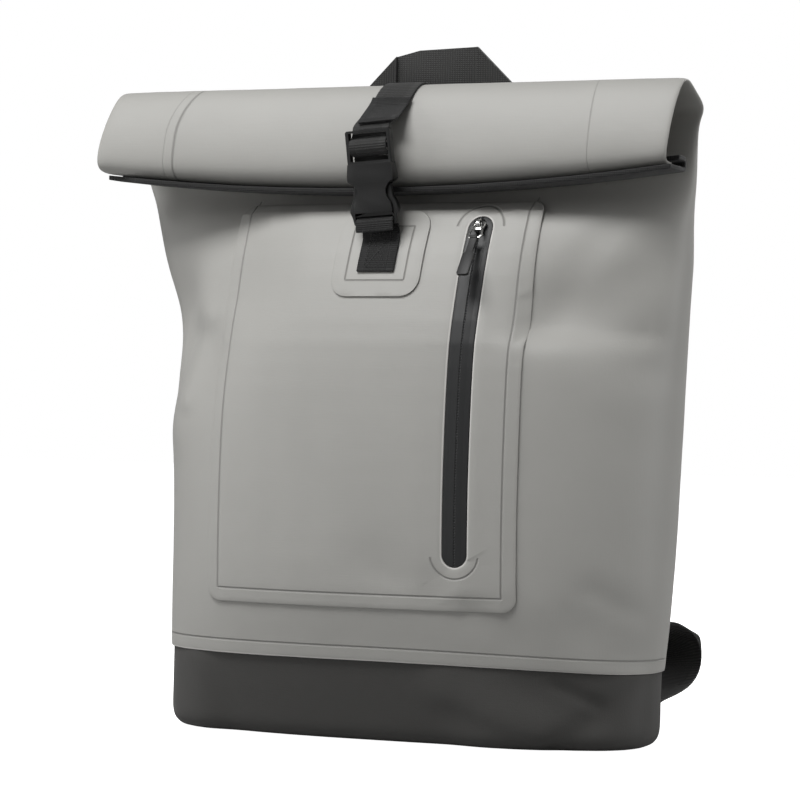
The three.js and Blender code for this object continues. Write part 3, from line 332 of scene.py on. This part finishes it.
def stitches(material, rows):
    # rows of thread on a band, each from (along, across) to (along, across), in mm
    tree = material.node_tree
    shader = tree.nodes["Principled BSDF"]
    way = addNode(tree, "ShaderNodeAttribute", {"attribute_name": "way"}).outputs["Vector"]
    flat = addNode(
        tree, "ShaderNodeVectorMath", {"operation": "MULTIPLY"}, _0=way, _1=(1000, 1000, 0),
    ).outputs[0]
    thread = 0.0
    for start, end in rows:
        length = math.dist(start, end)
        heading = ((end[0] - start[0]) / length, (end[1] - start[1]) / length, 0)
        fromStart = addNode(
            tree, "ShaderNodeVectorMath", {"operation": "SUBTRACT"}, _0=flat, _1=(*start, 0),
        ).outputs[0]
        dot = addNode(
            tree, "ShaderNodeVectorMath", {"operation": "DOT_PRODUCT"}, _0=fromStart, _1=heading,
        ).outputs["Value"]
        share = addNode(tree, "ShaderNodeClamp", Value=dot, Min=0.0, Max=length).outputs[0]
        onLine = addNode(
            tree, "ShaderNodeVectorMath", {"operation": "SCALE"}, _0=heading, Scale=share,
        ).outputs[0]
        gap = addNode(
            tree, "ShaderNodeVectorMath", {"operation": "DISTANCE"}, _0=fromStart, _1=onLine,
        ).outputs["Value"]
        turns = mathNode(tree, "MULTIPLY", share, math.pi / threadLook["pitchMm"])
        dash = mathNode(tree, "ABSOLUTE", mathNode(tree, "SINE", turns))
        row = mathNode(tree, "MULTIPLY", ridge(tree, gap, threadLook["widthMm"]), dash)
        thread = mathNode(tree, "MAXIMUM", row, thread)
    before = shader.inputs["Normal"].links[0].from_socket
    bumpFrom(tree, shader, thread, threadLook["height"], 1.0, before)


ribbedWebbing = webbing("ribbed black webbing", "2a2a29", 1.7, 1.3, 0.3)  # fine ribs, dull
sewnTab = webbing("sewn black tab", "0b0b0b", 1.5, 1.3, 0.35)  # ribs with rows of thread over them
stitches(sewnTab, tabStitches)
fuzzyBand = webbing("brushed black band", "101010", 0.9, 0.8, 0.5)  # close dull nap
bindingTape = webbing("black binding tape", "1d1d1d", 1.4, 1.1, 0.2)  # flat, nearly smooth weave
paddedMesh = webbing("padded black mesh", "202020", 2.4, 2.4, 0.5)  # open square mesh

# Moulded nylon: satin black with a faint grain, so that its edges catch thin lights
nylon, nylonTree, nylonShader = startMaterial("moulded black nylon", "101010", 0.38)
nylonPlace = addNode(nylonTree, "ShaderNodeTexCoord").outputs["Object"]
nylonGrain = addNode(nylonTree, "ShaderNodeTexNoise", Vector=nylonPlace, Scale=1800.0, Detail=1.0)
bumpFrom(nylonTree, nylonShader, nylonGrain.outputs["Fac"], 0.00002)

# Zip tape: satin coated black, raised over the coil and split by a fine dotted slit
tapeLook = {"slitMm": 0.7, "toothMm": 1.7, "coilMm": 4.5, "coilRise": 1.4, "height": 0.0003}
tapeAcross = (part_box("zip_tape")[0][0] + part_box("zip_tape")[1][0]) / 2
zipTape, tapeTree, tapeShader = startMaterial("coated zip tape", "18191a", 0.5)
tapePlace = addNode(tapeTree, "ShaderNodeTexCoord").outputs["Object"]
tapeSplit = addNode(tapeTree, "ShaderNodeSeparateXYZ", Vector=tapePlace)
off = mathNode(tapeTree, "SUBTRACT", tapeSplit.outputs["X"], tapeAcross)
slit = ridge(tapeTree, off, tapeLook["slitMm"] / 1000)
teeth = mathNode(tapeTree, "MULTIPLY", tapeSplit.outputs["Z"], 2000 * math.pi / tapeLook["toothMm"])
dots = mathNode(tapeTree, "SINE", teeth)
dottedSlit = mathNode(tapeTree, "MULTIPLY", slit, mathNode(tapeTree, "ADD", dots, 1.6))
coil = ridge(tapeTree, off, tapeLook["coilMm"] / 1000)
overCoil = mathNode(tapeTree, "MULTIPLY", coil, tapeLook["coilRise"])
tapeHeight = mathNode(tapeTree, "SUBTRACT", overCoil, dottedSlit)
bumpFrom(tapeTree, tapeShader, tapeHeight, tapeLook["height"])

# Moulded rubber of the zip's pull: softer and duller than the nylon
rubber = startMaterial("moulded black rubber", "131313", 0.55)[0]

# Plated metal of the slider and link: bright, with sharp small reflections
plated = startMaterial("bright plated metal", "d4d4d2", 0.14)[0]
plated.node_tree.nodes["Principled BSDF"].inputs["Metallic"].default_value = 1.0
print("materials made")


# Shared modelling steps
mergeDistance = 0.00002  # metres
quadAngle = 0.7  # radians
frontFade = (0.004, 0.02)  # metres: folds end this far back, and reach full depth over this much


def only(obj):
    # selects one object alone and makes it the active one
    bpy.ops.object.select_all(action="DESELECT")
    obj.select_set(True)
    bpy.context.view_layer.objects.active = obj


def copyOf(name, newName):
    # a merged copy of a CAD node, as quads where it can be
    source = nodes[name]
    obj = source.copy()
    obj.data = source.data.copy()
    obj.name = newName
    obj.parent = None
    obj.matrix_world = source.matrix_world.copy()
    bpy.context.collection.objects.link(obj)
    only(obj)
    bpy.ops.object.transform_apply(location=True, rotation=True, scale=True)
    bpy.ops.object.mode_set(mode="EDIT")
    bpy.ops.mesh.select_all(action="SELECT")
    bpy.ops.mesh.remove_doubles(threshold=mergeDistance)
    bpy.ops.mesh.tris_convert_to_quads(face_threshold=quadAngle, shape_threshold=quadAngle)
    bpy.ops.mesh.normals_make_consistent(inside=False)
    bpy.ops.object.mode_set(mode="OBJECT")
    obj.data.materials.clear()
    return obj


def modify(obj, kind, **settings):
    # adds a modifier with its settings and applies it
    only(obj)
    modifier = obj.modifiers.new(kind.lower(), kind)
    for key, value in settings.items():
        setattr(modifier, key, value)
    bpy.ops.object.modifier_apply(modifier=modifier.name)


def finishPiece(obj, node, material, body):
    # gives a piece its material, the body that it rides and the CAD node that it replaces
    obj.data.materials.append(material)
    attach(obj, body)
    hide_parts(node)


def markWay(obj):
    # each point's distance along its band and across it, as the attribute way, in metres
    mesh = obj.data
    count = len(mesh.vertices)
    places = np.empty(count * 3)
    mesh.vertices.foreach_get("co", places)
    places = places.reshape(-1, 3)
    near = [set() for _ in range(count)]
    for edge in mesh.edges:
        a, b = edge.vertices
        near[a].add(b)
        near[b].add(a)
    ends = [sorted(face.vertices) for face in mesh.polygons if len(face.vertices) == 4]
    ring = min(ends, key=lambda face: stretchOf(places, near, face))
    way = np.zeros((count, 3))
    seen = set()
    along = 0.0
    middle = places[list(ring)].mean(axis=0)
    while ring:
        here = places[list(ring)]
        newMiddle = here.mean(axis=0)
        along += float(np.linalg.norm(newMiddle - middle))
        middle = newMiddle
        spreads = here[:, None] - here[None]
        widest = np.unravel_index((spreads ** 2).sum(axis=2).argmax(), (len(ring), len(ring)))
        side = here[widest[0]] - here[widest[1]]
        side = side * (1 if side[0] >= 0 else -1) / max(np.linalg.norm(side), 1e-9)
        for index in ring:
            way[index] = (along, float((places[index] - middle) @ side), 0)
        seen.update(ring)
        ring = sorted({other for index in ring for other in near[index]} - seen)
    layer = mesh.attributes.new("way", "FLOAT_VECTOR", "POINT")
    layer.data.foreach_set("vector", way.reshape(-1))


def stretchOf(places, near, face):
    # small for the face that closes a band's end: all four of its points have one way out
    ways = [len(near[index] - set(face)) for index in face]
    return sum(ways) + 0.001 * float(np.ptp(places[face], axis=0).sum())


def pressFolds(obj, folds):
    # each fold is a line in the front, from (across, up) to (across, up), with its width above
    # and below the line and its depth, all in mm; a negative depth stands out
    mesh = obj.data
    places = np.empty(len(mesh.vertices) * 3)
    mesh.vertices.foreach_get("co", places)
    places = places.reshape(-1, 3)
    push = np.zeros(len(places))
    for start, end, above, below, depth in folds:
        way = (np.array(end) - start) / 1000
        offset = places[:, [0, 2]] - np.array(start) / 1000
        share = np.clip(offset @ way / (way @ way), 0, 1)
        gap = offset - share[:, None] * way
        distance = np.maximum(np.linalg.norm(gap, axis=1), 1e-6)
        width = (below + (above - below) * (0.5 + 0.5 * gap[:, 1] / distance)) / 1000
        push += depth / 1000 * np.exp(-((distance / width) ** 2))
    front = np.clip((frontFade[0] - places[:, 1]) / frontFade[1], 0, 1)
    places[:, 1] += push * front
    mesh.vertices.foreach_set("co", places.reshape(-1))
    mesh.update()


# Soft folds that run over the shell and the pieces welded on its front
clothFolds = [
    ((-172, 262), (-130, 252), 15, 40, 10.0),
    ((-120, 266), (-133, 212), 8, 6, -2.6),
    ((112, 262), (192, 258), 36, 9, 6.0),
    ((114, 262), (150, 330), 12, 14, 2.0),
    ((20, 112), (104, 74), 20, 12, 1.6),
    ((150, 98), (176, 82), 10, 5, 1.6),
]

# Grey shell, with a slow pucker over the whole cloth
shellLook = {"levels": 2, "puckerMm": 0.5, "puckerSize": 0.035}
pucker = bpy.data.textures.new("pucker", "CLOUDS")
pucker.noise_scale = shellLook["puckerSize"]
shell = copyOf("bag_shell", "shell")
modify(shell, "SUBSURF", levels=shellLook["levels"], render_levels=shellLook["levels"])
modify(
    shell, "DISPLACE", texture=pucker, texture_coords="LOCAL",
    strength=shellLook["puckerMm"] / 1000, mid_level=0.5,
)
pressFolds(shell, clothFolds)
only(shell)
bpy.ops.object.shade_smooth()
finishPiece(shell, "bag_shell", greyCloth, "bag")
print("shell done")

# Base, slack in its middle and at the boxed right corner
baseFolds = [
    ((-92, -2), (46, -6), 38, 10, 8.0),
    ((-120, 44), (-112, 6), 14, 14, -2.2),
    ((126, 4), (176, 48), 4, 13, 2.6),
    ((128, 41), (148, 30), 5, 3.5, 2.0),
    ((58, 34), (118, 12), 20, 9, -2.6),
]
baseLook = {"levels": 2}
base = copyOf("base_tub", "base")
modify(base, "SUBSURF", levels=baseLook["levels"], render_levels=baseLook["levels"])
pressFolds(base, baseFolds)
only(base)
bpy.ops.object.shade_smooth()
finishPiece(base, "base_tub", charcoalCloth, "bag")
print("base done")

# Welded panel, patch and tape, divided so that they follow the shell's folds
frontLook = {"edgeMm": 0.7}
for node, name, material in (
    ("pocket_panel", "pocket", greyCloth),
    ("buckle_patch", "patch", greyCloth),
    ("zip_tape", "tape", zipTape),
):
    piece = copyOf(node, name)
    modify(
        piece, "BEVEL", width=frontLook["edgeMm"] / 1000, segments=2,
        limit_method="ANGLE", angle_limit=0.9,
    )
    modify(piece, "SUBSURF", subdivision_type="SIMPLE", levels=2, render_levels=2)
    pressFolds(piece, clothFolds)
    only(piece)
    bpy.ops.object.shade_smooth_by_angle(angle=0.6)
    finishPiece(piece, node, material, "bag")
print("front pieces done")

# Bands of webbing
bandLook = {"edgeMm": 0.4, "keeperInMm": 5, "fuzzMm": 0.5, "fuzzSize": 0.0025, "tailPitch": 6}
tails = {  # the band's hidden end behind the buckle: middle and size in mm
    "closing_band": ((0.4, -37.0, 363.5), (26, 1.2, 11)),
    "tab": ((0.6, -35.0, 331.5), (24, 1.0, 8)),
}
fuzz = bpy.data.textures.new("fuzz", "CLOUDS")
fuzz.noise_scale = bandLook["fuzzSize"]


def gatherEnd(obj, inward):
    # draws a band's lower end in over the webbing under it
    heights = [vertex.co.z for vertex in obj.data.vertices]
    low, high = min(heights), max(heights)
    for vertex in obj.data.vertices:
        vertex.co.x += inward * ((high - vertex.co.z) / (high - low)) ** 2


def addTail(obj, middle, size):
    # joins a short flat end to a band, leaning by the tail's pitch
    bpy.ops.mesh.primitive_cube_add(size=1, location=[v / 1000 for v in middle])
    tail = bpy.context.active_object
    tail.scale = [v / 1000 for v in size]
    tail.rotation_euler = (math.radians(bandLook["tailPitch"]), 0, 0)
    only(tail)
    bpy.ops.object.transform_apply(location=True, rotation=True, scale=True)
    only(obj)
    tail.select_set(True)
    bpy.ops.object.join()


for node, name, material in (
    ("closing_strap", "closing_band", ribbedWebbing),
    ("strap_keeper", "keeper", fuzzyBand),
    ("buckle_tab", "tab", sewnTab),
    ("lower_webbing_left", "lower_band_left", ribbedWebbing),
    ("lower_webbing_right", "lower_band_right", ribbedWebbing),
):
    piece = copyOf(node, name)
    markWay(piece)
    modify(
        piece, "BEVEL", width=bandLook["edgeMm"] / 1000, segments=2,
        limit_method="ANGLE", angle_limit=1.2,
    )
    modify(piece, "SUBSURF", levels=2, render_levels=2)
    if name == "keeper":
        gatherEnd(piece, bandLook["keeperInMm"] / 1000)
        modify(
            piece, "DISPLACE", texture=fuzz, texture_coords="LOCAL",
            strength=bandLook["fuzzMm"] / 1000, mid_level=0.5,
        )
    if name in tails:
        addTail(piece, *tails[name])
    only(piece)
    bpy.ops.object.shade_smooth()
    finishPiece(piece, node, material, "bag")
print("bands done")

# Padded shoulder straps
padLook = {"edgeMm": 3.2, "levels": 2}
for side in ("left", "right"):
    pad = copyOf("shoulder_strap_" + side, "pad_" + side)
    markWay(pad)
    modify(
        pad, "BEVEL", width=padLook["edgeMm"] / 1000, segments=2,
        limit_method="ANGLE", angle_limit=1.2,
    )
    modify(pad, "SUBSURF", levels=padLook["levels"], render_levels=padLook["levels"])
    only(pad)
    bpy.ops.object.shade_smooth()
    finishPiece(pad, "shoulder_strap_" + side, paddedMesh, "bag")
print("straps done")

# Binding and handle, whose way is simply across the bag and out and up
foldedLook = {"edgeMm": 0.5}
for node, name in (("mouth_binding", "binding"), ("carry_handle", "handle")):
    piece = copyOf(node, name)
    layer = piece.data.attributes.new("way", "FLOAT_VECTOR", "POINT")
    for index, vertex in enumerate(piece.data.vertices):
        layer.data[index].vector = (vertex.co.x, vertex.co.y + vertex.co.z, 0)
    modify(
        piece, "BEVEL", width=foldedLook["edgeMm"] / 1000, segments=2,
        limit_method="ANGLE", angle_limit=0.9,
    )
    only(piece)
    bpy.ops.object.shade_smooth_by_angle(angle=0.6)
    finishPiece(piece, node, bindingTape if node == "mouth_binding" else ribbedWebbing, "bag")
print("binding and handle done")

# Hard pieces, with a fine rounded edge
hardLook = {"edgeMm": 0.3}
for node, name, material, body in (
    ("buckle_socket", "socket", nylon, "bag"),
    ("buckle_key", "key", nylon, "bag"),
    ("strap_adjuster_left", "adjuster_left_piece", nylon, "bag"),
    ("strap_adjuster_right", "adjuster_right_piece", nylon, "bag"),
    ("zip_slider", "slider", plated, "bag"),
    ("zip_link", "link", plated, "pull"),
    ("zip_pull", "grip", rubber, "pull"),
):
    piece = copyOf(node, name)
    modify(
        piece, "BEVEL", width=hardLook["edgeMm"] / 1000, segments=2,
        limit_method="ANGLE", angle_limit=0.7,
    )
    only(piece)
    bpy.ops.object.shade_smooth_by_angle(angle=0.6)
    finishPiece(piece, node, material, body)
print("hard pieces done")

# Floor and light. The camera sees the floor and the world as white; the bag gets less light
# from both. The lights are in watts
stageLook = {
    "floor": "f4f4f4", "floorSize": 12, "bounce": 0.34, "floorGlow": 1.0, "world": 0.15,
    "key": 46, "left": 7, "right": 10, "low": 2.2, "back": 16,
}
bpy.ops.mesh.primitive_plane_add(size=stageLook["floorSize"], location=(0, 0, 0))
floor = bpy.context.active_object
floor.name = "floor"
floorMaterial, floorTree, floorShader = startMaterial("pale floor", stageLook["floor"], 0.9)
floorShader.inputs["Emission Color"].default_value = (1, 1, 1, 1)
floorSeen = addNode(floorTree, "ShaderNodeLightPath").outputs["Is Camera Ray"]
floorGlow = mathNode(floorTree, "MULTIPLY", floorSeen, stageLook["floorGlow"])
floorTree.links.new(floorGlow, floorShader.inputs["Emission Strength"])
floorTone = addNode(
    floorTree, "ShaderNodeMapRange", _0=floorSeen, _3=stageLook["bounce"], _4=0.9,
).outputs[0]
floorTree.links.new(floorTone, floorShader.inputs["Base Color"])
floor.data.materials.append(floorMaterial)
world = bpy.data.worlds.new("studio")
bpy.context.scene.world = world
world.use_nodes = True
worldTree = world.node_tree
background = worldTree.nodes["Background"]
background.inputs["Color"].default_value = (1, 1, 1, 1)
seen = addNode(worldTree, "ShaderNodeLightPath").outputs["Is Camera Ray"]
glow = addNode(worldTree, "ShaderNodeMapRange", _0=seen, _3=stageLook["world"], _4=1.0).outputs[0]
worldTree.links.new(glow, background.inputs["Strength"])


def areaLight(name, place, aim, size, power):
    # a soft rectangular light at a place, turned to the point that it lights
    light = bpy.data.lights.new(name, "AREA")
    light.shape = "RECTANGLE"
    light.size = size[0]
    light.size_y = size[1]
    light.energy = power
    obj = bpy.data.objects.new(name, light)
    bpy.context.collection.objects.link(obj)
    obj.location = place
    obj.rotation_euler = (Vector(aim) - Vector(place)).to_track_quat("-Z", "Y").to_euler()


areaLight("key light", (-0.45, -1.15, 2.1), (0, 0, 0.25), (1.3, 0.9), stageLook["key"])
areaLight("left light", (-1.7, -0.9, 0.6), (0, 0, 0.2), (0.7, 1.0), stageLook["left"])
areaLight("right light", (1.8, 0.3, 0.5), (0, 0, 0.2), (0.6, 1.0), stageLook["right"])
areaLight("low light", (-0.5, -2.0, 0.25), (0, 0, 0.1), (1.4, 0.4), stageLook["low"])
areaLight("back light", (0.7, 2.1, 1.3), (0, 0, 0.2), (1.0, 1.0), stageLook["back"])
bpy.context.scene.view_settings.view_transform = "Standard"
print("stage done")
